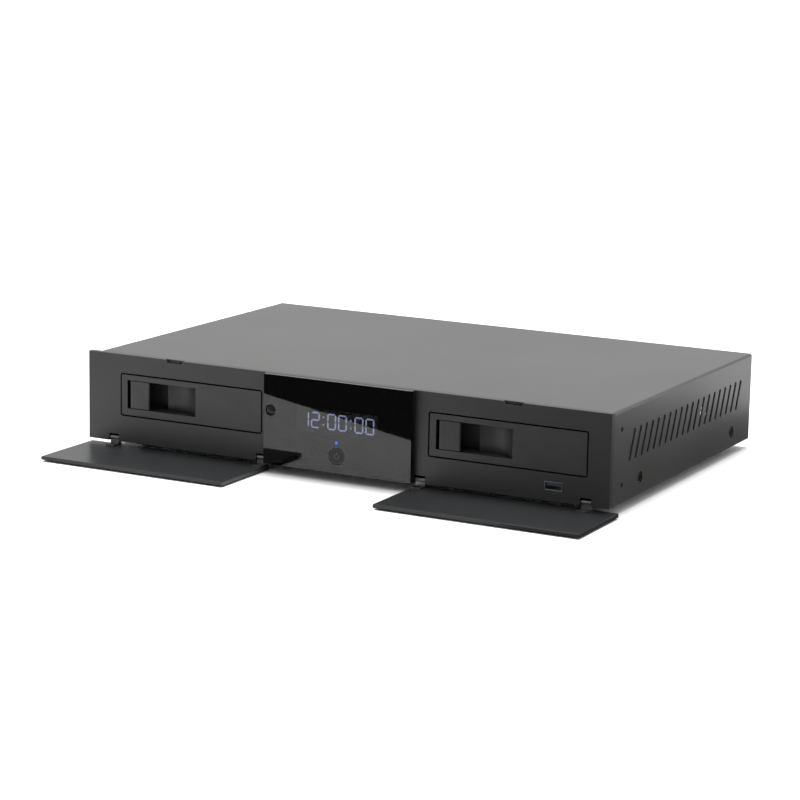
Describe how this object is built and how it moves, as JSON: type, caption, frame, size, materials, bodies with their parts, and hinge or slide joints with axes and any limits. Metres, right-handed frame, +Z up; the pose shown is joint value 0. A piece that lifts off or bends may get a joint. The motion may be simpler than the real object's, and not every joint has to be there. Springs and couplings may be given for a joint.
{
  "type": "media player with hard drive trays",
  "caption": "Shallow hi-fi media player: glass display panel between flip-down doors that uncover pull-out hard drive trays with swing-out levers, slotted steel case, connectors at the back",
  "frame": {"origin": "on the floor, under the middle of the whole object with its doors open", "axes": "+X to the right, +Y to the back, +Z up; the doors, trays and display face -Y"},
  "size_m": [0.4354, 0.3424, 0.074],
  "materials": {
    "black_paint": "satin fine-textured paint",
    "board_green": "solder mask",
    "brass_pin": "plated",
    "bright_steel": "turned",
    "button_black": "polished",
    "cap_blue": "sleeved can",
    "carrier_black": "moulded",
    "core_yellow": "taped core",
    "dark_glass": "mirror polished",
    "digit_light": "lit bluish white",
    "display_black": "dark filter",
    "door_finish": "dark brushed, satin lacquer",
    "frame_plastic": "moulded",
    "hinge_steel": "satin",
    "jack_green": "moulded",
    "jack_mixed": "moulded",
    "lamp_blue": "lit blue",
    "lens_smoke": "polished smoke",
    "lever_plastic": "satin",
    "plate_paint": "satin paint",
    "raw_steel": "bare sheet",
    "rubber_black": "matte",
    "sink_aluminium": "extruded, anodised",
    "socket_black": "moulded",
    "switch_grey": "moulded",
    "tray_plastic": "fine spark texture"
  },
  "bodies": {
    "chassis": {"audio_jacks": "jack_mixed", "base_chassis": "raw_steel", "board_standoffs": "brass_pin", "button_switch": "switch_grey", "cage_grommets": "rubber_black", "cage_screws": "bright_steel", "capacitors": "cap_blue", "cover_screws": "bright_steel", "display_digits": "digit_light", "display_module": "display_black", "door_catches": "bright_steel", "drive_sockets": "socket_black", "fan_frame": "frame_plastic", "fan_screws": "bright_steel", "feet": "rubber_black", "front_board": "board_green", "front_plate": "plate_paint", "front_usb_socket": "bright_steel", "glass_panel": "dark_glass", "hdmi_socket": "raw_steel", "heat_sink": "sink_aluminium", "hinge_pins": "bright_steel", "inlet_pins": "brass_pin", "left_drive_board": "board_green", "left_drive_cage": "frame_plastic", "main_board": "board_green", "mains_inlet": "socket_black", "network_socket": "raw_steel", "optical_socket": "socket_black", "panel_carrier": "carrier_black", "rear_panel": "black_paint", "rear_usb_socket": "raw_steel", "receiver_lens": "lens_smoke", "right_drive_board": "board_green", "right_drive_cage": "frame_plastic", "status_lamp": "lamp_blue", "supply_board": "board_green", "switch_housing": "socket_black", "top_cover": "black_paint", "transformer": "core_yellow", "usb_board": "board_green", "video_jacks": "jack_green"},
    "left_door": {"left_door": "door_finish", "left_door_hinges": "hinge_steel"},
    "right_door": {"right_door": "door_finish", "right_door_hinges": "hinge_steel"},
    "left_tray": {"left_tray_face": "tray_plastic", "left_tray_carrier": "frame_plastic", "left_tray_pads": "rubber_black", "left_lever_pin": "bright_steel"},
    "right_tray": {"right_tray_face": "tray_plastic", "right_tray_carrier": "frame_plastic", "right_tray_pads": "rubber_black", "right_lever_pin": "bright_steel"},
    "left_lever": {"left_tray_lever": "lever_plastic"},
    "right_lever": {"right_tray_lever": "lever_plastic"},
    "power_button": {"power_button": "button_black"},
    "fan_rotor": {"fan_rotor": "frame_plastic"},
    "power_rocker": {"power_rocker": "socket_black"}
  },
  "joints": [
    {"name": "left_door_hinge", "type": "hinge", "parent": "chassis", "child": "left_door", "pos_m": [-0.1395, -0.1064, 0.0092], "axis": [1, 0, 0], "range_deg": [-90, 0]},
    {"name": "left_tray_slide", "type": "slide", "parent": "chassis", "child": "left_tray", "axis": [0, -1, 0], "range_m": [0, 0.14]},
    {"name": "left_lever_pivot", "type": "hinge", "parent": "left_tray", "child": "left_lever", "pos_m": [-0.17955, -0.1066, 0.0441], "axis": [0, 0, -1], "range_deg": [0, 60]},
    {"name": "right_door_hinge", "type": "hinge", "parent": "chassis", "child": "right_door", "pos_m": [0.1395, -0.1064, 0.0092], "axis": [1, 0, 0], "range_deg": [-90, 0]},
    {"name": "right_tray_slide", "type": "slide", "parent": "chassis", "child": "right_tray", "axis": [0, -1, 0], "range_m": [0, 0.14]},
    {"name": "right_lever_pivot", "type": "hinge", "parent": "right_tray", "child": "right_lever", "pos_m": [0.08115, -0.1066, 0.0441], "axis": [0, 0, -1], "range_deg": [0, 60]},
    {"name": "power_button_press", "type": "slide", "parent": "chassis", "child": "power_button", "axis": [0, 1, 0], "range_m": [0, 0.0008], "stiffness_N_per_m": 1500},
    {"name": "fan_spin", "type": "hinge", "parent": "chassis", "child": "fan_rotor", "pos_m": [0.17225, 0.156, 0.0405], "axis": [0, 1, 0], "continuous": true},
    {"name": "power_rocker_tilt", "type": "hinge", "parent": "chassis", "child": "power_rocker", "pos_m": [-0.11775, 0.1622, 0.04], "axis": [0, 0, -1], "range_deg": [0, 14]}
  ]
}
